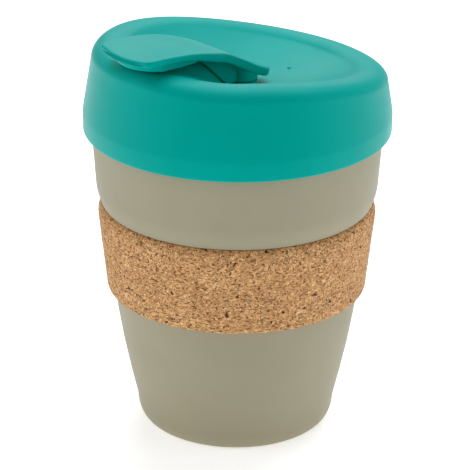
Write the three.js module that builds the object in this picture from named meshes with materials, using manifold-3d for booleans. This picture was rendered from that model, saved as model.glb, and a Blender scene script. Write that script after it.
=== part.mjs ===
// Reusable travel cup with a screw-on drinking lid, a swinging closure tab and a cork grip band.
// Millimetres, +Z up. The origin is the centre of the base on the resting plane, and the
// drinking side of the lid faces -Y. "reach" below is the distance from the cup's axis
// towards the drinking side, so reach = -y.
import * as THREE from "three";
import { mergeVertices } from "three/addons/utils/BufferGeometryUtils.js";
import Module from "manifold-3d";

const wasm = await Module();
wasm.setup();

// ---------------------------------------------------------------- driving dimensions
const SEGMENTS = 60; // facets round the cup
const GAP = 0.3; // clearance between neighbouring pieces

const CUP = {
  wall: 2.1,
  footInner: 24.4, // the flat ring it stands on
  footOuter: 27.2,
  footRecess: 1.5,
  floorTop: 4.0,
  heelRadius: 30.5, // where the rounded heel meets the wall
  heelHeight: 6.5,
  grooveLow: { r: 37.0, z: 43.8 }, // floor of the groove that holds the cork
  grooveHigh: { r: 40.0, z: 71.3 },
  waistRadius: 37.6, // wall just under the cork
  taperStart: 77.9, // below this the inside tapers in
  topRadius: 44.0,
  topHeight: 95,
  neckRadius: 42.75,
  neckBase: 96.4,
  rimHeight: 105.5,
  rimInner: 40.7,
};

// outside of the body between the heel and the cork
const WALL = [
  [32.7, 16],
  [34.8, 26],
  [36.4, 35.5],
];

// rounded shoulder over the cork and the straighter wall above it
const SHOULDER = [
  [41.0, 71.7],
  [41.7, 73.0],
  [42.3, 74.8],
  [42.75, 76.9],
  [43.4, 86.5],
];

const CORK = { thickness: 2.35, low: 44.1, high: 71.0, edge: 0.7, topEdge: 1.4 };

const LID = {
  wall: 1.9,
  skirtBottom: 94.65,
  skirtRadius: 46.5,
  skirtInner: 44.75,
  coneStart: 100.5, // above this the outside tapers in
  coneTaper: 0.165,
  rimWaves: [117.5, 4.45, -1.45, -0.5], // crest of the rim: mean height, tilt, saddle and skew
  filletWidth: 6, // rounded outer edge of the rim
  filletHeight: 4.2,
  rollRadius: 9, // rounded inner edge of the rim
  rollAngle: 29.5,
  floor: 106.9, // lowest point of the dish, on the axis
  ceiling: 107.8, // underside that presses the seal
  ceilingOuter: 43.5,
  lipOuter: 39.6, // lip that holds the seal and enters the cup's mouth
  lipInner: 38.0,
  lipBottom: 104.2,
};

// The drinking side of the dish is a raised shelf that carries the drinking hole and fades
// into the bowl on both sides.
const SHELF = { halfWindow: 50, rollAngle: 6, steepness: 7, lift: 2.1 };

const THREAD = {
  starts: 2,
  lead: 10,
  sweep: 150, // degrees turned by each ridge
  low: 99.2, // centre height of the cup's ridge at its lower end
  offset: -1.9, // the lid's ridge runs this far below the cup's
  cupCrest: 43.6,
  lidCrest: 43.15,
  rootHalf: 0.8, // half thickness of a ridge at its root and at its crest
  crestHalf: 0.4,
  steps: 20,
};

const SEAL = { inner: 39.95, outer: 43.0, edge: 0.4 };

// The tab turns about an upright pivot pin, a little behind the cup's axis.
const PIVOT = {
  reach: -2,
  bossRadius: 4.4,
  bossTop: 109.1,
  bossRoot: 105.2,
  bore: 1.68,
  boreTop: 113.3,
  pinRadius: 1.6,
  pinTop: 113.0,
  headRadius: 3.6,
  headTop: 103.4,
  headBottom: 102.2,
};
const WASHER = { inner: 1.95, outer: 4.4, low: 103.7, high: 104.7 };

const TAB = {
  neckThickness: 2.8,
  petalThickness: 2.0,
  edge: 0.55,
  tailEnd: -11.6,
  tailRound: 4.4, // length over which the tail rounds off
  endRadius: 45.2, // the petal's end follows the rim at this radius
  cornerRound: 2.2,
  bendStart: 12,
  petalStart: 14, // the neck widens into the petal between these
  petalFull: 32,
  stations: 34,
  dish: 0.6, // hollow across the petal for the thumb
  dishWidth: 11.5,
  rootDepth: 14, // the hub, the boss and the rib are cut to the plate made this much thicker
  rootInset: 0.6,
  rootSpread: 3,
};
// centre line of the tab's top face: reach, height, half width
const TAB_LINE = [
  [-11.6, 111.2, 4.2],
  [-5, 113.8, 4.6],
  [3, 118.1, 5.4],
  [11, 122.2, 8.8],
  [19, 124.8, 11.2],
  [27, 126.4, 11.7],
  [35, 127.2, 11.6],
  [45.2, 127.6, 11.2],
];

// collar round the drinking hole; "raise" is how far it stands out of the shelf
const SPOUT = { reach: 28.5, raise: 0.2, outer: 6, bore: 4.0, depth: 4 };
const PAD = { radius: 5.2, thickness: 1.5 };
// Boss under the petal that holds the pad, and the rib that joins it to the hub.
const SHOE = { reach: 31.2, radius: 12, bottom: 123.0, inset: 1.6 };
const RIB = { halfWidth: 1.7, from: 1, to: 20, clearance: 1.2, steps: 12 };
const VENT = { reach: -20.8, radius: 0.35, top: 113.8 };

// ------------------------------------------------------------------------- helpers
const rad = THREE.MathUtils.degToRad;

// A point given by its place across the cup, its reach and its height.
const at = (across, reach, z) => new THREE.Vector3(across, -reach, z);

function solidOf(geometry) {
  const bare = geometry.clone();
  bare.deleteAttribute("normal");
  bare.deleteAttribute("uv");
  const merged = mergeVertices(bare, 1e-4);
  return new wasm.Manifold(
    new wasm.Mesh({
      numProp: 3,
      vertProperties: new Float32Array(merged.attributes.position.array),
      triVerts: new Uint32Array(merged.index.array),
    })
  );
}

function geometryOf(solid) {
  const mesh = solid.getMesh();
  const geometry = new THREE.BufferGeometry();
  geometry.setAttribute("position", new THREE.BufferAttribute(new Float32Array(mesh.vertProperties), 3));
  geometry.setIndex(new THREE.BufferAttribute(new Uint32Array(mesh.triVerts), 1));
  geometry.computeVertexNormals();
  return geometry;
}

// Profile of [radius, height] pairs turned about the cup's axis.
function turned(profile, segments = SEGMENTS) {
  const points = profile.map(([r, z]) => new THREE.Vector2(r, z));
  return new THREE.LatheGeometry(points, segments).rotateX(Math.PI / 2);
}

// Points on a quarter-ellipse style arc, both ends included.
function arc(cr, cz, a, b, from, to, steps) {
  const points = [];
  for (let i = 0; i <= steps; i += 1) {
    const t = rad(from + ((to - from) * i) / steps);
    points.push([cr + a * Math.cos(t), cz + b * Math.sin(t)]);
  }
  return points;
}

// Rings of points joined into one closed skin, with a fan over each end.
function skinned(rings) {
  const count = rings[0].length;
  const positions = rings.flat().flatMap((p) => [p.x, p.y, p.z]);
  const index = [];
  for (let i = 0; i < rings.length - 1; i += 1) {
    for (let j = 0; j < count; j += 1) {
      const a = i * count + j;
      const b = i * count + ((j + 1) % count);
      index.push(a, b, b + count, a, b + count, a + count);
    }
  }
  [0, rings.length - 1].forEach((end) => {
    const centre = new THREE.Vector3();
    rings[end].forEach((p) => centre.addScaledVector(p, 1 / count));
    const tip = positions.length / 3;
    positions.push(centre.x, centre.y, centre.z);
    for (let j = 0; j < count; j += 1) {
      const a = end * count + j;
      const b = end * count + ((j + 1) % count);
      if (end === 0) index.push(tip, b, a);
      else index.push(tip, a, b);
    }
  });
  const geometry = new THREE.BufferGeometry();
  geometry.setAttribute("position", new THREE.Float32BufferAttribute(positions, 3));
  geometry.setIndex(index);
  return geometry;
}

// Upright cylinder at a place along the reach, between two heights.
function upright(radius, low, high, reach, segments = 32) {
  const geometry = new THREE.CylinderGeometry(radius, radius, high - low, segments).rotateX(Math.PI / 2);
  return solidOf(geometry.translate(0, -reach, (low + high) / 2));
}

// --------------------------------------------------------------------- thread ridges
// One helical ridge on a round wall, standing out of it or into it.
function threadRidge(rootRadius, crestRadius, lowHeight, startAngle) {
  const rings = [];
  const outward = crestRadius > rootRadius;
  for (let i = 0; i <= THREAD.steps; i += 1) {
    const turn = (THREAD.sweep * i) / THREAD.steps;
    const angle = rad(startAngle + turn);
    const z = lowHeight + (THREAD.lead * turn) / 360;
    const run = Math.min(1, (3 * Math.min(i, THREAD.steps - i) + 0.6) / 6); // ends fade out
    const crest = rootRadius + (crestRadius - rootRadius) * run;
    const section = [
      [rootRadius, z - THREAD.rootHalf],
      [crest, z - THREAD.crestHalf],
      [crest, z + THREAD.crestHalf],
      [rootRadius, z + THREAD.rootHalf],
    ];
    if (outward) section.reverse();
    rings.push(section.map(([r, h]) => new THREE.Vector3(r * Math.cos(angle), r * Math.sin(angle), h)));
  }
  return solidOf(skinned(rings));
}

function withThreads(solid, rootRadius, crestRadius, lowHeight) {
  let result = solid;
  for (let start = 0; start < THREAD.starts; start += 1) {
    const ridge = threadRidge(rootRadius, crestRadius, lowHeight, (360 / THREAD.starts) * start);
    result = result.add(ridge);
  }
  return result;
}

// -------------------------------------------------------------------------- cup body
function cupBody() {
  const c = CUP;
  const heel = arc(c.footOuter, c.heelHeight, c.heelRadius - c.footOuter, c.heelHeight, -90, 0, 5);
  const inside = (r) => r - c.wall;
  const profile = [
    [0, c.footRecess],
    [c.footInner - 0.8, c.footRecess],
    [c.footInner, 0],
    ...heel,
    ...WALL,
    [c.waistRadius, c.grooveLow.z - 0.2],
    [c.grooveLow.r, c.grooveLow.z],
    [c.grooveHigh.r, c.grooveHigh.z],
    [SHOULDER[0][0] - 0.4, c.grooveHigh.z + 0.1],
    ...SHOULDER,
    [c.topRadius, c.topHeight],
    [c.topRadius - 0.4, c.topHeight + 0.7],
    [c.neckRadius, c.neckBase],
    [c.neckRadius, c.rimHeight - 0.8],
    [c.neckRadius - 0.3, c.rimHeight - 0.2],
    [c.neckRadius - 0.9, c.rimHeight],
    [c.rimInner + 0.7, c.rimHeight],
    [c.rimInner, c.rimHeight - 0.8],
    [c.rimInner - 0.1, c.taperStart],
    [inside(c.grooveHigh.r), c.grooveHigh.z - 2],
    [inside(c.grooveLow.r), c.grooveLow.z],
    ...WALL.map(([r, z]) => [inside(r), z]).reverse(),
    ...arc(22, c.floorTop + 5, inside(c.heelRadius) + 0.7 - 22, 5, 0, -90, 4),
    [0, c.floorTop],
  ];
  const turnedBody = solidOf(turned(profile));
  return withThreads(turnedBody, c.neckRadius - 0.5, THREAD.cupCrest, THREAD.low);
}

// ------------------------------------------------------------------------- cork band
function corkBand() {
  const slope = (CUP.grooveHigh.r - CUP.grooveLow.r) / (CUP.grooveHigh.z - CUP.grooveLow.z);
  const inner = (z) => CUP.grooveLow.r + slope * (z - CUP.grooveLow.z) + GAP;
  const outer = (z) => inner(z) + CORK.thickness;
  const { low, high, edge, topEdge } = CORK;
  const profile = [
    [inner(low), low],
    [outer(low) - edge, low],
    [outer(low) - 0.2, low + 0.25],
    [outer(low + edge), low + edge],
    [outer(high - topEdge), high - topEdge],
    [outer(high) - 0.35, high - 0.6],
    [outer(high) - topEdge, high],
    [inner(high), high],
    [inner(low), low],
  ];
  return solidOf(turned(profile));
}

// ------------------------------------------------------------------------- lid shell
const rimHeightAt = (angle) =>
  LID.rimWaves.reduce((height, wave, order) => height + wave * Math.cos(order * angle), 0);
const wallRadiusAt = (z) => LID.skirtRadius - LID.coneTaper * Math.max(0, z - LID.coneStart);

// How much of the shelf there is at an angle from the drinking side, from 0 to 1.
function shelfShare(angle) {
  const away = Math.abs(Math.atan2(Math.sin(angle), Math.cos(angle)));
  return Math.cos(Math.min(1, away / rad(SHELF.halfWindow)) * (Math.PI / 2)) ** 2;
}

// Where the rim's crest and the edge of the dish lie, at an angle from the drinking side.
function rimAt(angle) {
  const share = shelfShare(angle);
  const crest = rimHeightAt(angle) + SHELF.lift * share;
  const filletFoot = crest - LID.filletHeight;
  const crestRadius = wallRadiusAt(filletFoot) - LID.filletWidth;
  const turn = rad(THREE.MathUtils.lerp(LID.rollAngle, SHELF.rollAngle, share));
  return {
    crest,
    filletFoot,
    crestRadius,
    dishRadius: crestRadius - LID.rollRadius * Math.sin(turn),
    dishHeight: crest - LID.rollRadius * (1 - Math.cos(turn)),
  };
}

// Height and slope of the dish, which is level on the axis and meets the rim's inner edge: a
// bowl at the sides and the back, a steep rise to the shelf at the drinking side.
function dishAt(radius, angle) {
  const { dishRadius, dishHeight } = rimAt(angle);
  const rise = dishHeight - LID.floor;
  const share = shelfShare(angle);
  const part = Math.min(1, radius / dishRadius);
  const inward = 1 - part ** 2;
  const height = (1 - share) * part ** 2 + share * (1 - inward ** SHELF.steepness);
  const gradient = 2 * part * (1 - share + share * SHELF.steepness * inward ** (SHELF.steepness - 1));
  return { z: LID.floor + rise * height, slope: Math.atan((rise * gradient) / dishRadius) };
}

// Section of the lid at an angle from the drinking side, from the axis on top to the axis below.
function lidSection(angle) {
  const { crest, filletFoot, crestRadius, dishRadius } = rimAt(angle);
  const rollTurn = THREE.MathUtils.radToDeg(Math.asin((crestRadius - dishRadius) / LID.rollRadius));
  const roll = arc(crestRadius, crest - LID.rollRadius, LID.rollRadius, LID.rollRadius, 90 + rollTurn, 90, 4);
  const fillet = arc(crestRadius, filletFoot, LID.filletWidth, LID.filletHeight, 72, 0, 4);
  const dish = [0.15, 0.3, 0.45, 0.6, 0.8].map((part) => [part * dishRadius, dishAt(part * dishRadius, angle).z]);
  const under = [1, 0.8, 0.6, 0.45, 0.3, 0.15].map((part) => {
    const { z, slope } = dishAt(part * dishRadius, angle);
    return [part * dishRadius + LID.wall * Math.sin(slope), z - LID.wall * Math.cos(slope)];
  });
  return [
    [0, LID.floor],
    ...dish,
    ...roll,
    ...fillet,
    [LID.skirtRadius, LID.coneStart],
    [LID.skirtRadius, LID.skirtBottom + 2],
    [LID.skirtRadius - 0.25, LID.skirtBottom + 0.9],
    [LID.skirtRadius - 0.8, LID.skirtBottom + 0.2],
    [LID.skirtRadius - 1.1, LID.skirtBottom],
    [LID.skirtInner, LID.skirtBottom + 0.1],
    [LID.skirtInner - 0.1, LID.skirtBottom + 2.5],
    [LID.ceilingOuter, LID.ceiling],
    [LID.lipOuter, LID.ceiling],
    [LID.lipOuter, LID.lipBottom + 0.5],
    [LID.lipOuter - 0.5, LID.lipBottom],
    [LID.lipInner, LID.lipBottom],
    ...under,
    [0, LID.floor - LID.wall],
  ];
}

function lidSkin() {
  const sections = [];
  for (let i = 0; i < SEGMENTS; i += 1) {
    const angle = (2 * Math.PI * i) / SEGMENTS;
    sections.push(lidSection(angle).map(([r, z]) => at(r * Math.sin(angle), r * Math.cos(angle), z)));
  }
  const rings = sections[0].map((_, k) => sections.map((section) => section[k]));
  return solidOf(skinned(rings.slice(1, -1).reverse()));
}

// The drinking hole stands square to the slope of the dish.
const SPOUT_SEAT = dishAt(SPOUT.reach, 0);

// Cylinder on the drinking hole's axis, between two heights above the top of its collar.
function onSpout(radius, low, high, segments = 32) {
  const geometry = new THREE.CylinderGeometry(radius, radius, high - low, segments);
  geometry.translate(0, (low + high) / 2 + SPOUT.raise, 0).rotateX(Math.PI / 2 - SPOUT_SEAT.slope);
  return solidOf(geometry.translate(0, -SPOUT.reach, SPOUT_SEAT.z));
}

function lidShell() {
  const threaded = withThreads(
    lidSkin(),
    LID.skirtInner - 0.2,
    THREAD.lidCrest,
    THREAD.low + THREAD.offset
  );
  return threaded
    .add(upright(PIVOT.bossRadius, PIVOT.bossRoot, PIVOT.bossTop, PIVOT.reach, 40))
    .add(onSpout(SPOUT.outer, -SPOUT.depth, 0))
    .subtract(onSpout(SPOUT.bore, -2 * SPOUT.depth, 2))
    .subtract(upright(PIVOT.bore, PIVOT.headBottom, PIVOT.boreTop, PIVOT.reach, 24))
    .subtract(upright(VENT.radius, PIVOT.headBottom, VENT.top, VENT.reach, 12));
}

// ------------------------------------------------------------------------- lid seal
function lidSeal() {
  const low = CUP.rimHeight + GAP;
  const high = LID.ceiling - GAP;
  const { inner, outer, edge } = SEAL;
  return solidOf(
    turned([
      [inner, low + edge],
      [inner + edge, low],
      [outer - edge, low],
      [outer, low + edge],
      [outer, high - edge],
      [outer - edge, high],
      [inner + edge, high],
      [inner, high - edge],
      [inner, low + edge],
    ])
  );
}

// ------------------------------------------------------------------------ drinking tab
const tabCurve = new THREE.CatmullRomCurve3(TAB_LINE.map((p) => new THREE.Vector3(...p)), false, "centripetal");

// Half width at a reach, with the tail and the petal's corners rounded off.
function roundedWidth(reach, width) {
  const tail = (TAB.tailEnd + TAB.tailRound - reach) / TAB.tailRound;
  const corner = (reach - (TAB.endRadius - TAB.cornerRound)) / TAB.cornerRound;
  const tailPast = THREE.MathUtils.clamp(tail, 0, 1);
  const cornerPast = THREE.MathUtils.clamp(corner, 0, 1);
  const trimmed = width - TAB.cornerRound * (1 - Math.sqrt(1 - cornerPast ** 2));
  return trimmed * Math.sqrt(1 - tailPast ** 2);
}

// Ring of points round the tab where its centre line stands at parameter t. deeper adds to the
// thickness, inset lowers the top face, and widen adds to the half width.
function tabRing(t, deeper, inset, widen) {
  const { x: reach, y: top, z: width } = tabCurve.getPoint(t);
  const tangent = tabCurve.getTangent(t);
  const rise = Math.atan2(tangent.y, tangent.x);
  const half = Math.max(roundedWidth(reach, width), 0.4) + widen;
  const flat = Math.max(half - TAB.edge, 0.2);
  const bend = THREE.MathUtils.smoothstep(reach, TAB.bendStart, TAB.endRadius) / (2 * TAB.endRadius);
  const petal = THREE.MathUtils.smoothstep(reach, TAB.petalStart, TAB.petalFull);
  const depth = THREE.MathUtils.lerp(TAB.neckThickness, TAB.petalThickness, petal) + deeper;
  const point = (across, below) => {
    const hollow = TAB.dish * petal * Math.max(0, 1 - (across / TAB.dishWidth) ** 2);
    const down = below + hollow;
    return at(across, reach - bend * across ** 2 + down * Math.sin(rise), top - down * Math.cos(rise));
  };
  const spread = [-1, -0.6, -0.2, 0.2, 0.6, 1];
  return [
    ...spread.map((k) => point(-k * flat, inset)),
    point(-half, (inset + depth) / 2),
    ...spread.map((k) => point(k * flat, depth)),
    point(half, (inset + depth) / 2),
  ];
}

function tabPlate(deeper = 0, inset = 0, widen = 0) {
  const rings = [];
  for (let i = 0; i <= TAB.stations; i += 1) {
    const even = i / TAB.stations;
    const t = even - 0.1 * Math.sin(2 * Math.PI * even); // stations crowd towards both ends
    const nose = i === 0 || i === TAB.stations ? TAB.edge : 0; // both ends thin to a rounded nose
    rings.push(tabRing(0.004 + 0.992 * t, deeper - nose, inset + nose, widen));
  }
  return solidOf(skinned(rings));
}

// Stiffening rib under the tab's arch, a little clear of the dish below it.
function tabRib() {
  const rings = [];
  for (let i = 0; i <= RIB.steps; i += 1) {
    const reach = RIB.from + ((RIB.to - RIB.from) * i) / RIB.steps;
    const low = Math.max(dishAt(reach, 0).z + RIB.clearance, PIVOT.bossTop + GAP);
    const w = RIB.halfWidth;
    const high = low + TAB.rootDepth;
    rings.push([at(w, reach, low), at(w, reach, high), at(-w, reach, high), at(-w, reach, low)]);
  }
  return solidOf(skinned(rings));
}

function drinkTab() {
  const hubBottom = PIVOT.bossTop + GAP;
  const hub = upright(PIVOT.bossRadius, hubBottom, hubBottom + TAB.rootDepth, PIVOT.reach, 40);
  const shoe = upright(SHOE.radius, SHOE.bottom, SHOE.bottom + TAB.rootDepth, SHOE.reach, 48);
  return tabPlate()
    .add(hub.intersect(tabPlate(TAB.rootDepth, TAB.rootInset, TAB.rootSpread)))
    .add(shoe.intersect(tabPlate(TAB.rootDepth, TAB.rootInset, -SHOE.inset)))
    .add(tabRib().intersect(tabPlate(TAB.rootDepth, TAB.rootInset)))
    .subtract(onSpout(PAD.radius + GAP, -GAP, PAD.thickness + 2 * GAP))
    .subtract(upright(PIVOT.bore, hubBottom - 1, PIVOT.boreTop, PIVOT.reach, 24));
}

// Soft pad in the tab's boss that closes the drinking hole.
function drinkPad() {
  return onSpout(PAD.radius, GAP, GAP + PAD.thickness);
}

// Headed pin that holds the tab down on the lid's boss and turns with it.
function pivotPin() {
  const head = upright(PIVOT.headRadius, PIVOT.headBottom, PIVOT.headTop, PIVOT.reach, 24);
  return head.add(upright(PIVOT.pinRadius, PIVOT.headBottom + 0.5, PIVOT.pinTop, PIVOT.reach, 24));
}

// Soft washer between the pin's head and the underside of the dish.
function pivotWasher() {
  const ring = upright(WASHER.outer, WASHER.low, WASHER.high, PIVOT.reach, 24);
  return ring.subtract(upright(WASHER.inner, WASHER.low - 1, WASHER.high + 1, PIVOT.reach, 24));
}

// --------------------------------------------------------------------------- assembly
const FINISHES = {
  bodyPlastic: { color: 0x9c967e, roughness: 0.6, metalness: 0 },
  cork: { color: 0xc39a6b, roughness: 0.95, metalness: 0 },
  lidPlastic: { color: 0x00a08f, roughness: 0.42, metalness: 0 },
  silicone: { color: 0x0a7f73, roughness: 0.7, metalness: 0 },
};

const cup = new THREE.Group();

function piece(name, solid, finish) {
  const mesh = new THREE.Mesh(geometryOf(solid), new THREE.MeshStandardMaterial(FINISHES[finish]));
  mesh.name = name;
  cup.add(mesh);
}

piece("cup_body", cupBody(), "bodyPlastic");
piece("cork_band", corkBand(), "cork");
piece("lid_shell", lidShell(), "lidPlastic");
piece("lid_seal", lidSeal(), "silicone");
piece("drink_tab", drinkTab(), "lidPlastic");
piece("drink_pad", drinkPad(), "silicone");
piece("pivot_pin", pivotPin(), "lidPlastic");
piece("pivot_washer", pivotWasher(), "silicone");

export default cup;
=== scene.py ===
"""A reusable takeaway coffee cup: matte body, pressed cork grip band, and a satin screw-on lid
whose dished top carries a swinging petal-shaped tab over the drinking hole.

Lengths in the outlines are millimetres and become metres when a mesh is made. +Z is up and the
drinking side faces -Y; "reach" is the distance from the axis towards the drinking side.
"""

import math

import bmesh
import bpy
import numpy as np
from mathutils import Matrix, Vector


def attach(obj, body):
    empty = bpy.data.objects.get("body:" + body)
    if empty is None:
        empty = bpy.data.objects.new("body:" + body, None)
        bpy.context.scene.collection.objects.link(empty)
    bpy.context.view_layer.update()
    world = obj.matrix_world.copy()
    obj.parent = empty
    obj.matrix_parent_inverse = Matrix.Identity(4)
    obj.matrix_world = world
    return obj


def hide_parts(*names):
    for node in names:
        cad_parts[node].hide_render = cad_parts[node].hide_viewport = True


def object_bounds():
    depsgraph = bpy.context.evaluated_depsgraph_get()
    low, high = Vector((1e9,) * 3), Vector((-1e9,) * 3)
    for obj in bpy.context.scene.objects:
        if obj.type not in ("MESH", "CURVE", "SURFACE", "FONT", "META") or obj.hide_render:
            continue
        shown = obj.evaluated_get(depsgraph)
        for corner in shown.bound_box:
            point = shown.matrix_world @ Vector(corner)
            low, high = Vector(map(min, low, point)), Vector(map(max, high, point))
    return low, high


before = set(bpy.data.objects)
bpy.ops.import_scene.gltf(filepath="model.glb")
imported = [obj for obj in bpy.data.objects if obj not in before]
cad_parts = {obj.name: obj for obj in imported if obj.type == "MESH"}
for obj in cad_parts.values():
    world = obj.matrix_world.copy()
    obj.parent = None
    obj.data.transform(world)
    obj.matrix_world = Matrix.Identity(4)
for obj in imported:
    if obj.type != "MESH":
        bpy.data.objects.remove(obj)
CAD_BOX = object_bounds()

MM = 0.001
TURNS = 240  # facets round the cup
SHARP = 38  # degrees between two faces from which their edge is drawn sharp

# ------------------------------------------------------------------------------ dimensions
CUP = dict(
    foot_recess=1.5, foot_inner=24.4, foot_outer=27.2, heel_radius=30.5, heel_height=6.5,
    wall=2.1, floor_top=4.0, floor_round=22.0, groove_low=(37.0, 43.8), groove_high=(40.0, 71.3),
    waist=37.6, taper_start=77.9, top_radius=44.0, top=95.0, neck=42.75, neck_base=96.4,
    rim=105.5, rim_inner=40.7,
)
WALL = [(32.7, 16.0), (34.8, 26.0), (36.4, 35.5)]  # outside of the body between heel and cork
# outside of the body over the cork: radius, height, rounding
SHOULDER = [(41.0, 71.4, 0.5), (41.7, 73.0, 0.8), (42.3, 74.8, 1.0), (42.75, 76.9, 1.8),
            (43.4, 86.5, 3)]
# top_edge is the width and height of the soft upper corner
CORK = dict(gap=0.3, thickness=2.35, low=43.75, high=71.3, edge=0.8, top_edge=(1.8, 3.6))
LID = dict(
    wall=1.9, skirt_bottom=94.65, skirt=46.5, skirt_inner=44.75, cone_start=100.5, taper=0.165,
    fillet_width=6.0, fillet_height=4.2, roll=9.0, roll_angle=29.5, floor=106.9,
    ceiling=107.8, ceiling_outer=43.5, lip_outer=39.6, lip_inner=38.0, lip_bottom=104.2,
)
RIM_WAVES = (117.5, 4.45, -1.45, -0.5)  # crest height: mean, tilt, saddle and skew
SHELF = dict(half_window=50.0, roll_angle=6.0, steepness=7, lift=2.1)  # raised side of the dish
THREAD = dict(starts=2, lead=10.0, sweep=150.0, low=99.2, offset=-1.9, cup_crest=43.6,
              lid_crest=43.15, root_half=0.8, crest_half=0.4, steps=60, fade_steps=6,
              cup_sink=0.5, lid_sink=0.2)  # how deep the ridges start inside the wall
PIVOT = dict(reach=-2.0, boss=4.4, boss_top=109.1, boss_depth=4.0, bore=1.68, bore_top=113.3)
SPOUT = dict(reach=28.5, rise=0.2, outer=6.0, bore=4.0, depth=4.0)
PAD = dict(radius=5.2, thickness=1.5)
SHOE = dict(reach=31.2, radius=12.0, bottom=123.0, inset=1.6)  # boss under the petal
RIB = dict(half_width=1.7, start=1.0, end=20.0, clearance=0.2, soft=0.4, steps=40)
VENT = dict(reach=-20.8, radius=0.12, ring=0.6, ring_rise=0.25)
GAP = 0.3  # of the hub over its boss, the pad over the collar, and the pad in its pocket
UNDER_DISH = 100.0  # a height under the dish, where the cutters of its holes start
TAB = dict(neck_thickness=2.8, petal_thickness=2.0, petal_start=14.0, petal_full=32.0,
           tail_end=-11.6, tail_round=4.4, end_radius=45.2, corner=2.2, bend_start=12.0,
           dish=0.9, dish_width=11.5, edge=0.5, tail_nose=1.1, least_half_width=0.3,
           root_depth=14.0, root_inset=0.6, root_spread=3.0)
# centre line of the tab's top face: reach, height, half width
TAB_LINE = [
    (-11.6, 111.2, 4.2), (-5, 113.8, 4.6), (3, 118.1, 5.4), (11, 122.2, 8.8),
    (19, 124.8, 11.2), (27, 126.4, 11.7), (35, 127.2, 11.6), (45.2, 127.6, 11.2),
]


# ------------------------------------------------------------------------------ mesh tools
def shade(mesh, sharp):
    """Smooth shading, except where faces meet at more than the sharp angle."""
    mesh.shade_smooth()
    mesh.set_sharp_from_angle(angle=math.radians(sharp))


def mesh_object(name, points, faces, sharp=SHARP):
    """Object from points in millimetres, with doubled points merged and faces turned outward."""
    mesh = bpy.data.meshes.new(name)
    mesh.from_pydata([tuple(c * MM for c in p) for p in points], [], faces)
    bm = bmesh.new()
    bm.from_mesh(mesh)
    bmesh.ops.remove_doubles(bm, verts=bm.verts, dist=1e-7)
    bmesh.ops.recalc_face_normals(bm, faces=bm.faces)
    bm.to_mesh(mesh)
    bm.free()
    shade(mesh, sharp)
    piece = bpy.data.objects.new(name, mesh)
    bpy.context.collection.objects.link(piece)
    return piece


def skin(rings, closed_ends=True):
    """Points and faces of a skin over rings of equal length, with a fan over each end."""
    count = len(rings[0])
    points = [p for ring in rings for p in ring]
    faces = []
    for i in range(len(rings) - 1):
        for j in range(count):
            a = i * count + j
            b = i * count + (j + 1) % count
            faces.append((a, b, b + count, a + count))
    if closed_ends:
        for end in (0, len(rings) - 1):
            centre = np.mean(np.array(rings[end]), axis=0)
            points.append(tuple(centre))
            tip = len(points) - 1
            for j in range(count):
                a = end * count + j
                b = end * count + (j + 1) % count
                faces.append((tip, b, a) if end == 0 else (tip, a, b))
    return points, faces


def rounded(profile, steps=5):
    """A closed outline of (r, z), with the corners given as (r, z, radius) rounded off."""
    result = []
    count = len(profile)
    for i, corner in enumerate(profile):
        here = Vector(corner[:2])
        radius = corner[2] if len(corner) > 2 else 0
        before = Vector(profile[i - 1][:2]) - here
        after = Vector(profile[(i + 1) % count][:2]) - here
        cut = min(radius, 0.45 * before.length, 0.45 * after.length)
        if cut < 1e-4 or abs(before.angle(after) - math.pi) < 0.03:
            result.append(tuple(here))
            continue
        start = here + before.normalized() * cut
        end = here + after.normalized() * cut
        for k in range(steps + 1):
            t = k / steps
            result.append(tuple(start * (1 - t) ** 2 + here * 2 * t * (1 - t) + end * t ** 2))
    return result


def lathe(name, outline, turns=TURNS, sharp=SHARP, place=None):
    """A closed outline of (r, z) turned about the axis, or about the axis of a placing matrix."""
    rings = []
    for r, z in outline:
        ring = []
        for j in range(turns):
            angle = 2 * math.pi * j / turns
            point = Vector((max(r, 0.0) * math.cos(angle), max(r, 0.0) * math.sin(angle), z))
            ring.append(tuple(place @ point if place else point))
        rings.append(ring)
    rings.append(rings[0])
    points, faces = skin(rings, closed_ends=False)
    return mesh_object(name, points, faces, sharp)


def rod(name, radius, low, high, place, turns=96, edge=0.3):
    """A round bar with softened ends, along the Z axis of a placing matrix."""
    outline = [(0, low, 0), (radius, low, edge), (radius, high, edge), (0, high, 0)]
    return lathe(name, rounded(outline), turns, place=place)


def combine(piece, tool, how):
    """Joins a tool to a piece or cuts it out, and removes the tool."""
    modifier = piece.modifiers.new("combine", "BOOLEAN")
    modifier.operation = how
    modifier.solver = "EXACT"
    modifier.object = tool
    settle(piece)
    bpy.data.objects.remove(tool)


def settle(piece, sharp=SHARP):
    """Writes a piece's modifiers into its mesh."""
    graph = bpy.context.evaluated_depsgraph_get()
    mesh = bpy.data.meshes.new_from_object(piece.evaluated_get(graph))
    piece.modifiers.clear()
    piece.data = mesh
    shade(mesh, sharp)


def upright(reach):
    """Placing matrix of an upright axis at a reach."""
    return Matrix.Translation((0, -reach, 0))


def arc(centre_r, centre_z, width, height, start, end, steps):
    """Points of an ellipse's arc, from the start angle to the end angle in degrees."""
    turns = [math.radians(start + (end - start) * i / steps) for i in range(steps + 1)]
    return [(centre_r + width * math.cos(t), centre_z + height * math.sin(t)) for t in turns]


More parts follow.
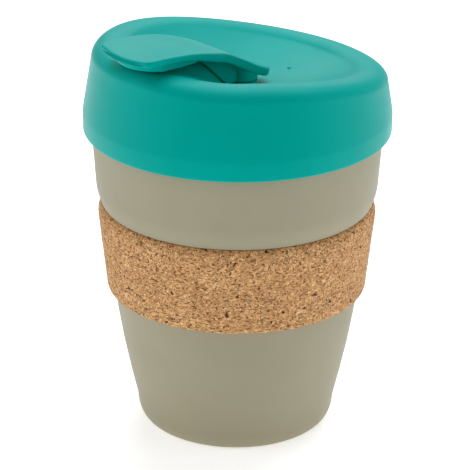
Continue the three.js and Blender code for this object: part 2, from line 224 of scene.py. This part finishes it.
def thread_ridges(name, root, crest, low):
    """The helical ridges of one side of the thread, as one mesh of separate ridges."""
    t = THREAD
    points, faces = [], []
    for start in range(t["starts"]):
        rings = []
        for i in range(t["steps"] + 1):
            turn = t["sweep"] * i / t["steps"]
            angle = math.radians(360 / t["starts"] * start + turn)
            z = low + t["lead"] * turn / 360
            full = min(1, (0.6 + min(i, t["steps"] - i)) / t["fade_steps"])  # low at both ends
            peak = root + (crest - root) * full
            section = [(root, z - t["root_half"]), (peak, z - t["crest_half"]),
                       (peak, z + t["crest_half"]), (root, z + t["root_half"])]
            rings.append([(r * math.cos(angle), r * math.sin(angle), h) for r, h in section])
        more, sides = skin(rings)
        faces += [tuple(k + len(points) for k in side) for side in sides]
        points += more
    return mesh_object(name, points, faces)


# ------------------------------------------------------------------------------ cup and cork
def inside(radius):
    """The body's inner radius where its outer radius is given."""
    return radius - CUP["wall"]


def cup_outline():
    """The body's section: foot, outside, rim, inside and floor."""
    c = CUP
    (groove_r, groove_z), (high_r, high_z) = c["groove_low"], c["groove_high"]
    return [
        (0, c["foot_recess"], 0), (c["foot_inner"] - 0.8, c["foot_recess"], 0.6),
        (c["foot_inner"], 0, 0.4),
        *arc(c["foot_outer"], c["heel_height"], c["heel_radius"] - c["foot_outer"],
             c["heel_height"], -90, 0, 12),
        *WALL,
        (c["waist"], groove_z - 0.2, 0.25), (groove_r, groove_z, 0.1), (high_r, high_z, 0.1),
        *SHOULDER,
        (c["top_radius"], c["top"], 0.4), (c["top_radius"] - 0.4, c["top"] + 0.7, 0.3),
        (c["neck"], c["neck_base"], 0.3), (c["neck"], c["rim"], 0.9),
        (c["rim_inner"], c["rim"], 0.8), (c["rim_inner"] - 0.1, c["taper_start"], 2),
        (inside(high_r), high_z - 2, 2), (inside(groove_r), groove_z, 2),
        *[(inside(r), z, 2) for r, z in reversed(WALL)],
        *arc(c["floor_round"], c["floor_top"] + 5,
             inside(c["heel_radius"]) + 0.7 - c["floor_round"], 5, 0, -90, 10),
        (0, c["floor_top"], 0),
    ]


def make_cup():
    body = lathe("body_shell", rounded(cup_outline()))
    ridges = thread_ridges("cup_thread", CUP["neck"] - THREAD["cup_sink"], THREAD["cup_crest"],
                           THREAD["low"])
    combine(body, ridges, "UNION")
    return body


def cork_inner(z):
    """Inner radius of the band, which follows the groove's slanting floor."""
    (low_r, low_z), (high_r, high_z) = CUP["groove_low"], CUP["groove_high"]
    return low_r + (high_r - low_r) / (high_z - low_z) * (z - low_z) + CORK["gap"]


def cork_outer(z):
    return cork_inner(z) + CORK["thickness"]


def cork_outline(face_steps=34):
    """The band's section, with enough points up its outer face to carry a rough surface."""
    low, high, edge = CORK["low"], CORK["high"], CORK["edge"]
    top_width, top_height = CORK["top_edge"]
    face_top = high - top_height
    return [
        (cork_inner(low), low),
        *arc(cork_outer(low) - edge, low + edge, edge, edge, -90, -10, 5),
        *[(cork_outer(z), z) for z in np.linspace(low + edge, face_top, face_steps + 1)],
        *arc(cork_outer(face_top) - top_width, face_top, top_width, top_height, 8, 90, 8),
        (cork_inner(high), high),
    ]


def make_cork():
    """Cork is never quite smooth: shallow pits and a soft waviness are cut into its outside."""
    band = lathe("cork_grip", cork_outline(), turns=420, sharp=60)
    rough = bpy.data.textures.new("cork_pits", "VORONOI")
    rough.noise_scale = 1.1 * MM
    rough.intensity = 0.9
    soft = bpy.data.textures.new("cork_waves", "CLOUDS")
    soft.noise_scale = 9 * MM
    group = band.vertex_groups.new(name="outside")
    for vertex in band.data.vertices:
        r = math.hypot(vertex.co.x, vertex.co.y) / MM
        share = (r - cork_inner(vertex.co.z / MM)) / CORK["thickness"]
        group.add([vertex.index], min(1.0, max(0.0, share)) ** 2, "REPLACE")
    for texture, strength, middle in ((rough, 0.14, 0.6), (soft, 0.12, 0.5)):  # depth in mm
        modifier = band.modifiers.new(texture.name, "DISPLACE")
        modifier.texture = texture
        modifier.texture_coords = "GLOBAL"
        modifier.strength = strength * MM
        modifier.mid_level = middle
        modifier.vertex_group = "outside"
    settle(band, sharp=60)
    return band


# ------------------------------------------------------------------------------ lid
def rim_height(angle):
    """Height of the rim's wavy crest at an angle from the drinking side, without the shelf."""
    return sum(wave * math.cos(order * angle) for order, wave in enumerate(RIM_WAVES))


def wall_radius(z):
    """Outer radius of the lid, which narrows upward from the cone's start."""
    return LID["skirt"] - LID["taper"] * max(0, z - LID["cone_start"])


def shelf_share(angle):
    """How much of the shelf there is at an angle from the drinking side, from 0 to 1."""
    away = abs(math.remainder(angle, 2 * math.pi)) / math.radians(SHELF["half_window"])
    return math.cos(min(1, away) * math.pi / 2) ** 2


def rim_at(angle):
    """Crest, foot of the outer rounding, crest radius, and the dish's edge radius and height."""
    share = shelf_share(angle)
    crest = rim_height(angle) + SHELF["lift"] * share
    foot = crest - LID["fillet_height"]
    crest_radius = wall_radius(foot) - LID["fillet_width"]
    turn = math.radians(LID["roll_angle"] * (1 - share) + SHELF["roll_angle"] * share)
    edge_radius = crest_radius - LID["roll"] * math.sin(turn)
    return crest, foot, crest_radius, edge_radius, crest - LID["roll"] * (1 - math.cos(turn))


def dish_at(radius, angle):
    """Height and slope of the dish: a bowl that rises steeply to a shelf at the drinking side."""
    _, _, _, edge_radius, edge_height = rim_at(angle)
    rise = edge_height - LID["floor"]
    share = shelf_share(angle)
    steepness = SHELF["steepness"]
    part = min(1, radius / edge_radius)
    inward = 1 - part ** 2
    height = (1 - share) * part ** 2 + share * (1 - inward ** steepness)
    gradient = 2 * part * (1 - share + share * steepness * inward ** (steepness - 1))
    return LID["floor"] + rise * height, math.atan(rise * gradient / edge_radius)


def lid_section(angle):
    """Closed section of the lid at an angle: dish, rim, outside, skirt, lip and underside."""
    crest, foot, crest_radius, edge_radius, _ = rim_at(angle)
    roll_turn = math.degrees(math.asin((crest_radius - edge_radius) / LID["roll"]))
    parts = [i / 26 for i in range(1, 26)]
    dish = [(k * edge_radius, dish_at(k * edge_radius, angle)[0]) for k in parts]
    under = []
    for k in reversed(parts[2:] + [1.0]):
        z, slope = dish_at(k * edge_radius, angle)
        r = k * edge_radius + LID["wall"] * math.sin(slope)
        under.append((r, z - LID["wall"] * math.cos(slope)))
    roll = arc(crest_radius, crest - LID["roll"], LID["roll"], LID["roll"],
               90 + roll_turn, 90, 12)
    fillet = arc(crest_radius, foot, LID["fillet_width"], LID["fillet_height"], 84, 0, 16)
    bottom, skirt = LID["skirt_bottom"], LID["skirt"]
    cone = [(wall_radius(z), z) for z in np.linspace(foot, LID["cone_start"] + 1.5, 5)[1:]]
    lower = rounded([
        (*cone[-1], 0), (skirt, LID["cone_start"], 2.5), (skirt, bottom, 1.1),
        (LID["skirt_inner"], bottom, 0.3), (LID["skirt_inner"] - 0.1, bottom + 2.5, 0.2),
        (LID["ceiling_outer"], LID["ceiling"], 0.3), (LID["lip_outer"], LID["ceiling"], 0.3),
        (LID["lip_outer"], LID["lip_bottom"], 0.5), (LID["lip_inner"], LID["lip_bottom"], 0.2),
        (*under[0], 0),
    ])
    return [*dish, *roll, *fillet, *cone[:-1], *lower[:-1], *under]


def make_lid():
    sections = []
    for i in range(TURNS):
        angle = 2 * math.pi * i / TURNS
        sections.append([(r * math.sin(angle), -r * math.cos(angle), z)
                         for r, z in lid_section(angle)])
    rings = [[section[k] for section in sections] for k in range(len(sections[0]))]
    lid = mesh_object("lid_top", *skin(rings))
    boss = rod("lid_boss", PIVOT["boss"], PIVOT["boss_top"] - PIVOT["boss_depth"],
               PIVOT["boss_top"], upright(PIVOT["reach"]))
    combine(lid, boss, "UNION")
    collar = rod("collar", SPOUT["outer"], -SPOUT["depth"], 0, on_spout(), edge=0.6)
    combine(lid, collar, "UNION")
    ridges = thread_ridges("lid_thread", LID["skirt_inner"] - THREAD["lid_sink"],
                           THREAD["lid_crest"], THREAD["low"] + THREAD["offset"])
    combine(lid, ridges, "UNION")
    vent_top = dish_at(-VENT["reach"], math.pi)[0] + VENT["ring_rise"]
    ring = rod("vent_ring", VENT["ring"], vent_top - 1, vent_top, upright(VENT["reach"]), turns=48)
    combine(lid, ring, "UNION")
    cuts = (
        ("drinking_bore", SPOUT["bore"], -2 * SPOUT["depth"], 2, on_spout()),
        ("pin_bore", PIVOT["bore"], UNDER_DISH, PIVOT["bore_top"], upright(PIVOT["reach"])),
        ("vent", VENT["radius"], UNDER_DISH, LID["floor"] + 8, upright(VENT["reach"])),
    )
    for name, radius, low, high, place in cuts:
        combine(lid, rod(name, radius, low, high, place, turns=64, edge=0.1), "DIFFERENCE")
    return lid


def on_spout():
    """Placing matrix of the drinking hole: on the dish, square to its slope, at the collar's top."""
    z, slope = dish_at(SPOUT["reach"], 0)
    place = Matrix.Translation((0, -SPOUT["reach"], z)) @ Matrix.Rotation(-slope, 4, "X")
    return place @ Matrix.Translation((0, 0, SPOUT["rise"]))


# ------------------------------------------------------------------------------ tab
def smoothstep(x, low, high):
    """0 below low, 1 above high, and an S-shaped run between them."""
    t = min(1, max(0, (x - low) / (high - low)))
    return t * t * (3 - 2 * t)


def tab_centre(t):
    """Centripetal Catmull-Rom curve through the tab's centre line, and its slope, at t in 0..1."""
    knots = [Vector(p) for p in TAB_LINE]
    spans = len(knots) - 1
    place = min(spans - 1e-9, max(0.0, t * spans))
    i = int(place)
    local = place - i
    p1, p2 = knots[i], knots[i + 1]
    p0 = knots[i - 1] if i else 2 * p1 - p2
    p3 = knots[i + 2] if i + 2 <= spans else 2 * p2 - p1
    steps = [max((b - a).length ** 0.5, 1e-6) for a, b in ((p0, p1), (p1, p2), (p2, p3))]
    d1 = ((p1 - p0) / steps[0] - (p2 - p0) / (steps[0] + steps[1]) + (p2 - p1) / steps[1]) * steps[1]
    d2 = ((p2 - p1) / steps[1] - (p3 - p1) / (steps[1] + steps[2]) + (p3 - p2) / steps[2]) * steps[1]
    a = 2 * p1 - 2 * p2 + d1 + d2
    b = -3 * p1 + 3 * p2 - 2 * d1 - d2
    return a * local ** 3 + b * local ** 2 + d1 * local + p1, 3 * a * local ** 2 + 2 * b * local + d1


def tab_half_width(reach, width):
    """Half width of the tab, rounded off at the tail and at the petal's two corners."""
    tail = (TAB["tail_end"] + TAB["tail_round"] - reach) / TAB["tail_round"]
    corner = (reach - (TAB["end_radius"] - TAB["corner"])) / TAB["corner"]
    tail, corner = (min(1, max(0, value)) for value in (tail, corner))
    trimmed = width - TAB["corner"] * (1 - math.sqrt(1 - corner ** 2))
    return trimmed * math.sqrt(1 - tail ** 2)


def tab_ring(t, deeper, inset, widen, across_steps=22, edge_steps=5):
    """Section of the tab: top face, upright side with rounded corners, underside, other side."""
    (reach, top, width), slope = tab_centre(t)
    rise = math.atan2(slope.y, slope.x)
    half = max(tab_half_width(reach, width), TAB["least_half_width"]) + widen
    bend = smoothstep(reach, TAB["bend_start"], TAB["end_radius"]) / (2 * TAB["end_radius"])
    petal = smoothstep(reach, TAB["petal_start"], TAB["petal_full"])
    depth = TAB["neck_thickness"] * (1 - petal) + TAB["petal_thickness"] * petal + deeper
    softness = 1 - smoothstep(reach, TAB["tail_end"], TAB["tail_end"] + 2 * TAB["tail_round"])
    edge = TAB["edge"] + (TAB["tail_nose"] - TAB["edge"]) * softness
    side = min(edge, half * 0.6, 0.45 * (depth - inset))

    def point(across, below):
        hollow = TAB["dish"] * petal * max(0, 1 - (across / TAB["dish_width"]) ** 2)
        down = below + hollow
        return (across, -(reach - bend * across ** 2 + down * math.sin(rise)),
                top - down * math.cos(rise))

    flat = half - side
    top_face = [(flat * (1 - 2 * i / across_steps), inset) for i in range(across_steps + 1)]
    turns = np.linspace(0, math.pi / 2, edge_steps + 1)
    upper = [(-flat - side * math.sin(a), inset + side * (1 - math.cos(a))) for a in turns[1:]]
    lower = [(a, inset + depth - d) for a, d in reversed(upper)]
    far = upper + lower
    underside = [(-a, depth) for a, _ in top_face]
    near = [(-a, inset + depth - d) for a, d in far]
    return [point(a, d) for a, d in (*top_face, *far, *underside, *near)]


def tab_plate(name, deeper=0.0, inset=0.0, widen=0.0, stations=150, nose_rings=8):
    """The tab from tail to petal, with both ends thinning to a rounded nose.

    deeper lowers its underside, inset lowers its top face and widen moves its sides out.
    """
    rings = []
    for i in range(stations + 1):
        even = i / stations
        crowded = even - 0.1 * math.sin(2 * math.pi * even)  # stations lie closer at both ends
        past = 1 - min(1, min(i, stations - i) / nose_rings)
        nose_size = TAB["tail_nose"] if i < stations / 2 else 0.9 * TAB["edge"]
        nose = nose_size * (1 - math.sqrt(1 - past ** 2))
        rings.append(tab_ring(0.004 + 0.992 * crowded, deeper - nose, inset + nose, widen))
    return mesh_object(name, *skin(rings))


def tab_rib():
    """Stiffening rib under the arch, a little clear of the dish below it."""
    rings = []
    for reach in np.linspace(RIB["start"], RIB["end"], RIB["steps"] + 1):
        low = max(dish_at(reach, 0)[0] + RIB["clearance"], PIVOT["boss_top"] + GAP)
        high = low + TAB["root_depth"]
        w, soft = RIB["half_width"], RIB["soft"]
        section = ((w, high), (-w, high), (-w, low + soft), (-w + soft, low), (w - soft, low),
                   (w, low + soft))
        rings.append([(across, -reach, z) for across, z in section])
    return mesh_object("rib", *skin(rings))


def make_tab():
    tab = tab_plate("swing_tab")
    depth, inset = TAB["root_depth"], TAB["root_inset"]
    low = PIVOT["boss_top"] + GAP
    hub = rod("hub", PIVOT["boss"], low, low + depth, upright(PIVOT["reach"]), edge=0.5)
    shoe = rod("shoe", SHOE["radius"], SHOE["bottom"], SHOE["bottom"] + depth,
               upright(SHOE["reach"]), turns=160, edge=0.5)
    for part, spread in ((hub, TAB["root_spread"]), (shoe, -SHOE["inset"]), (tab_rib(), 0)):
        combine(part, tab_plate("limit", depth, inset, spread), "INTERSECT")
        combine(tab, part, "UNION")
    pocket = rod("pocket", PAD["radius"] + GAP, -GAP, PAD["thickness"] + 2 * GAP, on_spout(),
                 edge=0.1)
    combine(tab, pocket, "DIFFERENCE")
    bore = rod("tab_bore", PIVOT["bore"], low - 1, PIVOT["bore_top"], upright(PIVOT["reach"]),
               turns=64, edge=0.1)
    combine(tab, bore, "DIFFERENCE")
    return tab


def make_pad():
    return rod("closing_pad", PAD["radius"], GAP, GAP + PAD["thickness"], on_spout(), edge=0.35)


# ------------------------------------------------------------------------------ materials
def rgb(r, g, b):
    """Linear colour of an sRGB colour given as 0 to 255."""
    shares = (value / 255 for value in (r, g, b))
    return (*(c / 12.92 if c <= 0.04045 else ((c + 0.055) / 1.055) ** 2.4 for c in shares), 1.0)


class Nodes:
    """A short way to write a material's nodes."""

    def __init__(self, name):
        self.material = bpy.data.materials.new(name)
        self.material.use_nodes = True
        self.tree = self.material.node_tree
        self.shader = self.tree.nodes["Principled BSDF"]
        self.place = self.new("ShaderNodeTexCoord").outputs["Object"]

    def new(self, kind, **values):
        node = self.tree.nodes.new(kind)
        for key, value in values.items():
            setattr(node, key, value)
        return node

    def join(self, source, target):
        self.tree.links.new(source, target)

    def feed(self, value, socket):
        """Joins another node's output to a socket, or writes a plain value into it."""
        if hasattr(value, "links"):
            self.join(value, socket)
        else:
            socket.default_value = value

    def stretched(self, scale, offset=(0, 0, 0)):
        node = self.new("ShaderNodeMapping")
        node.inputs["Scale"].default_value = scale
        node.inputs["Location"].default_value = offset
        self.join(self.place, node.inputs["Vector"])
        return node.outputs["Vector"]

    def noise(self, scale, detail=4.0, roughness=0.55, vector=None):
        """Noise whose features are about 1 / scale metres across."""
        node = self.new("ShaderNodeTexNoise")
        node.inputs["Scale"].default_value = scale
        node.inputs["Detail"].default_value = detail
        node.inputs["Roughness"].default_value = roughness
        self.join(vector or self.place, node.inputs["Vector"])
        return node.outputs["Fac"]

    def cells(self, scale, feature="F1", vector=None):
        node = self.new("ShaderNodeTexVoronoi", feature=feature)
        node.inputs["Scale"].default_value = scale
        self.join(vector or self.place, node.inputs["Vector"])
        return node.outputs

    def ramp(self, value, stops):
        node = self.new("ShaderNodeValToRGB")
        elements = node.color_ramp.elements
        while len(elements) < len(stops):
            elements.new(0.5)
        for element, (position, colour) in zip(elements, stops):
            element.position = position
            element.color = colour if len(colour) == 4 else (*colour, 1)
        self.join(value, node.inputs["Fac"])
        return node.outputs["Color"]

    def grey_ramp(self, value, low, high, start=0.0, end=1.0):
        return self.ramp(value, [(low, (start,) * 3), (high, (end,) * 3)])

    def mix(self, factor, first, second, blend="MIX"):
        node = self.new("ShaderNodeMix", data_type="RGBA", blend_type=blend)
        for value, socket in ((factor, node.inputs[0]), (first, node.inputs[6]),
                              (second, node.inputs[7])):
            self.feed(value, socket)
        return node.outputs[2]

    def math(self, operation, first, second):
        node = self.new("ShaderNodeMath", operation=operation)
        self.feed(first, node.inputs[0])
        self.feed(second, node.inputs[1])
        return node.outputs[0]

    def bump(self, height, distance, strength=1.0, under=None):
        node = self.new("ShaderNodeBump")
        node.inputs["Distance"].default_value = distance
        node.inputs["Strength"].default_value = strength
        self.join(height, node.inputs["Height"])
        if under:
            self.join(under, node.inputs["Normal"])
        return node.outputs["Normal"]

    def colour(self, source):
        self.join(source, self.shader.inputs["Base Color"])

    def roughness(self, source):
        self.join(source, self.shader.inputs["Roughness"])

    def normal(self, source):
        self.join(source, self.shader.inputs["Normal"])


def moulded(name, colour, spread, rough, grain, specular, shine=(1, 1, 1, 1), ior=1.5):
    """Moulded plastic: faint flow marks in the colour, eroded grain and a few fine rubs.

    spread is how far the shade varies, rough its lowest and highest roughness, and grain the
    depth of the eroded surface in metres.
    """
    n = Nodes(name)
    base = Vector(colour[:3])
    clouds = n.noise(38, detail=3)
    flow = n.noise(26, detail=5, vector=n.stretched((1, 1, 0.3), (0.3, 0.1, 0)))
    darker, lighter = (*(base * (1 - spread)), 1), (*(base * (1 + spread)), 1)
    tint = n.ramp(clouds, [(0.36, darker), (0.64, lighter)])
    tint = n.mix(n.grey_ramp(flow, 0.45, 0.7, 0, 0.35), tint, (*(base * (1 + 1.6 * spread)), 1))
    specks = n.grey_ramp(n.noise(2600, detail=1), 0.66, 0.74)
    n.colour(n.mix(n.math("MULTIPLY", specks, 0.12), tint, (*(base * 0.72), 1)))
    rubs = n.noise(900, detail=2, vector=n.stretched((0.12, 1, 1)))
    low, high = rough
    worn = n.grey_ramp(n.noise(55, detail=6), 0.35, 0.7, low, high)
    n.roughness(n.mix(n.grey_ramp(rubs, 0.62, 0.75, 0, 0.25), worn, (high, high, high, 1)))
    fine = n.bump(n.noise(2100, detail=2), grain, 0.6)
    n.normal(n.bump(n.noise(150, detail=2), 0.00006, 0.5, under=fine))
    n.shader.inputs["Specular IOR Level"].default_value = specular
    n.shader.inputs["Specular Tint"].default_value = shine
    n.shader.inputs["IOR"].default_value = ior
    return n.material


def pressed_cork():
    """Granules of about a millimetre, each its own shade, with dark bark specks and streaks."""
    n = Nodes("pressed_cork")
    warp = n.new("ShaderNodeTexNoise")
    warp.inputs["Scale"].default_value = 700
    n.join(n.place, warp.inputs["Vector"])
    bent = n.new("ShaderNodeVectorMath", operation="MULTIPLY_ADD")
    n.join(warp.outputs["Color"], bent.inputs[0])
    bent.inputs[1].default_value = (0.0009, 0.0009, 0.0009)
    n.join(n.stretched((1, 1, 1.35)), bent.inputs[2])
    place = bent.outputs[0]
    granule = n.cells(760, vector=place)
    shade = n.ramp(granule["Color"], [
        (0.0, rgb(166, 110, 63)), (0.3, rgb(210, 147, 90)), (0.6, rgb(231, 169, 110)),
        (0.85, rgb(252, 190, 129)), (1.0, rgb(255, 221, 165)),
    ])
    small = n.cells(1900, vector=place)
    crumb = n.ramp(small["Color"], [(0.0, rgb(144, 90, 49)), (1.0, rgb(255, 218, 155))])
    tint = n.mix(0.45, shade, crumb)
    seam = n.cells(760, feature="DISTANCE_TO_EDGE", vector=place)["Distance"]
    tint = n.mix(n.grey_ramp(seam, 0.0, 0.09, 0.55, 0.0), tint, rgb(129, 76, 41))
    cloud = n.grey_ramp(n.noise(90, detail=4), 0.38, 0.66, 0.0, 0.28)
    tint = n.mix(cloud, tint, rgb(196, 131, 76))
    fleck = n.grey_ramp(n.noise(1300, detail=2, vector=n.stretched((1, 1, 1.6), (0.2, 0, 0))),
                        0.6, 0.66, 0.0, 0.65)
    tint = n.mix(fleck, tint, rgb(255, 221, 163))
    streaks = n.noise(760, detail=3, roughness=0.6, vector=n.stretched((1, 1, 2.4)))
    streak = n.grey_ramp(streaks, 0.58, 0.625, 0.0, 0.85)
    tint = n.mix(streak, tint, rgb(96, 55, 31))
    speck = n.grey_ramp(n.noise(1500, detail=2), 0.6, 0.64, 0.0, 0.85)
    tint = n.mix(speck, tint, rgb(77, 43, 25))
    blot = n.grey_ramp(n.noise(430, detail=2), 0.69, 0.71, 0.0, 0.95)
    tint = n.mix(blot, tint, rgb(60, 35, 22))
    n.colour(tint)
    n.roughness(n.grey_ramp(n.noise(800), 0.3, 0.7, 0.78, 0.95))
    pits = n.math("SUBTRACT", n.grey_ramp(seam, 0.0, 0.12), streak)
    coarse = n.bump(pits, 0.00016, 0.7)
    n.normal(n.bump(n.noise(2800, detail=3), 0.00008, 0.6, under=coarse))
    n.shader.inputs["Specular IOR Level"].default_value = 0.2
    n.shader.inputs["Sheen Weight"].default_value = 0.05
    n.shader.inputs["Sheen Roughness"].default_value = 0.6
    return n.material


def studio_floor():
    """A white matte table."""
    n = Nodes("studio_floor")
    n.colour(n.ramp(n.noise(3, detail=2), [(0.3, rgb(250, 250, 250)), (0.7, rgb(254, 254, 254))]))
    n.shader.inputs["Roughness"].default_value = 0.7
    n.shader.inputs["Specular IOR Level"].default_value = 0.2
    n.shader.inputs["Emission Color"].default_value = (1, 1, 1, 1)
    n.shader.inputs["Emission Strength"].default_value = 0.5  # a faintly lit table
    return n.material


TEAL = rgb(0, 163, 152)
TEAL_SHINE = rgb(0, 235, 235)  # dyed plastic: its shine is white only at a glancing angle
TEAL_SOFT = rgb(4, 132, 120)
GREIGE = rgb(160, 153, 128)

# ------------------------------------------------------------------------------ the pieces
teal_plastic = moulded("teal_plastic", TEAL, 0.03, (0.36, 0.46), 0.00003, specular=0.4,
                       shine=TEAL_SHINE, ior=1.3)
greige_plastic = moulded("greige_plastic", GREIGE, 0.025, (0.52, 0.64), 0.00004, specular=0.3)
silicone = moulded("teal_silicone", TEAL_SOFT, 0.05, (0.55, 0.7), 0.00002, specular=0.35)
cork = pressed_cork()

REPLACEMENTS = [
    # piece, CAD node it stands for, body it rides on, material, material slot name
    (make_cup(), "cup_body", "cup", greige_plastic, "body_plastic"),
    (make_cork(), "cork_band", "cup", cork, "cork"),
    (make_lid(), "lid_shell", "lid", teal_plastic, "lid_plastic"),
    (make_tab(), "drink_tab", "tab", teal_plastic, "lid_plastic"),
    (make_pad(), "drink_pad", "tab", silicone, "silicone"),
]
for piece, node, body, material, slot in REPLACEMENTS:
    piece.data.materials.clear()
    piece.data.materials.append(material)
    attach(piece, body)
    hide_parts(node)

CARRIED_OVER = {"lid_seal": silicone, "pivot_washer": silicone, "pivot_pin": teal_plastic}
for node, material in CARRIED_OVER.items():
    for material_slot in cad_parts[node].material_slots:
        material_slot.material = material


# ------------------------------------------------------------------------------ the studio
def area_light(name, place, target, size, power, tint=(1, 1, 1)):
    data = bpy.data.lights.new(name, "AREA")
    data.shape = "RECTANGLE"
    data.size, data.size_y = size
    data.energy = power
    data.color = tint
    light = bpy.data.objects.new(name, data)
    light.location = place
    light.rotation_euler = (Vector(target) - Vector(place)).to_track_quat("-Z", "Y").to_euler()
    bpy.context.collection.objects.link(light)


def around(azimuth, distance, height):
    """A place seen from above at an azimuth, counted as the camera's is."""
    turn = math.radians(azimuth)
    return Vector((distance * math.sin(turn), -distance * math.cos(turn), height))


VIEW = dict(azimuth=48.5, elevation=23.13, distance=0.8, lens=199.9, roll=0.45)
AIM = Vector((0, 0, 0.0588))
AIM_SIDEWAYS = 0.0005  # how far left of AIM, as the camera sees it, it really looks

HALF_SIDE = 6.0  # of the floor
FLOOR_DROP = 0.0002  # the floor lies this far under the cup

floor_mesh = bpy.data.meshes.new("floor")
corners = [(x * HALF_SIDE, y * HALF_SIDE, 0) for x, y in ((-1, -1), (1, -1), (1, 1), (-1, 1))]
floor_mesh.from_pydata(corners, [], [(0, 1, 2, 3)])
floor = bpy.data.objects.new("floor", floor_mesh)
floor.location.z = CAD_BOX[0][2] - FLOOR_DROP
floor.data.materials.append(studio_floor())
bpy.context.collection.objects.link(floor)

world = bpy.data.worlds.new("studio")
bpy.context.scene.world = world
world.use_nodes = True
world_nodes = world.node_tree.nodes
backdrop = world_nodes["Background"]
light_path = world_nodes.new("ShaderNodeLightPath")
brightness = world_nodes.new("ShaderNodeMapRange")
brightness.inputs["To Min"].default_value = 0.31  # what lights the cup
brightness.inputs["To Max"].default_value = 1.05  # the white wall behind it
world.node_tree.links.new(light_path.outputs["Is Camera Ray"], brightness.inputs["Value"])
world.node_tree.links.new(brightness.outputs["Result"], backdrop.inputs["Strength"])
backdrop.inputs["Color"].default_value = (1, 1, 1, 1)

middle = (0, 0, 0.07)
azimuth = VIEW["azimuth"]
area_light("key_left", around(azimuth - 72, 0.7, 0.35), middle, (0.5, 0.7), 1.35)
area_light("fill_right", around(azimuth + 75, 0.7, 0.3), middle, (0.5, 0.7), 1.1)
area_light("behind", around(azimuth + 180, 0.6, 0.45), middle, (0.5, 0.3), 0.8)
area_light("top", around(azimuth + 160, 0.35, 0.9), middle, (0.8, 0.6), 5.9,
           tint=(0.84, 0.97, 1.06))

camera_data = bpy.data.cameras.new("camera")
camera_data.lens = VIEW["lens"]
camera_data.sensor_width = 36
camera = bpy.data.objects.new("camera", camera_data)
bpy.context.collection.objects.link(camera)
up_angle = math.radians(VIEW["elevation"])
back = Vector(around(azimuth, math.cos(up_angle), math.sin(up_angle)))
right = Vector((math.cos(math.radians(azimuth)), math.sin(math.radians(azimuth)), 0))
aim = AIM - right * AIM_SIDEWAYS
camera.location = aim + back * VIEW["distance"]
turn = Matrix.Rotation(math.radians(VIEW["roll"]), 4, back)
camera.rotation_euler = (turn @ back.to_track_quat("Z", "Y").to_matrix().to_4x4()).to_euler()
bpy.context.scene.camera = camera
bpy.context.scene.view_settings.view_transform = "Standard"
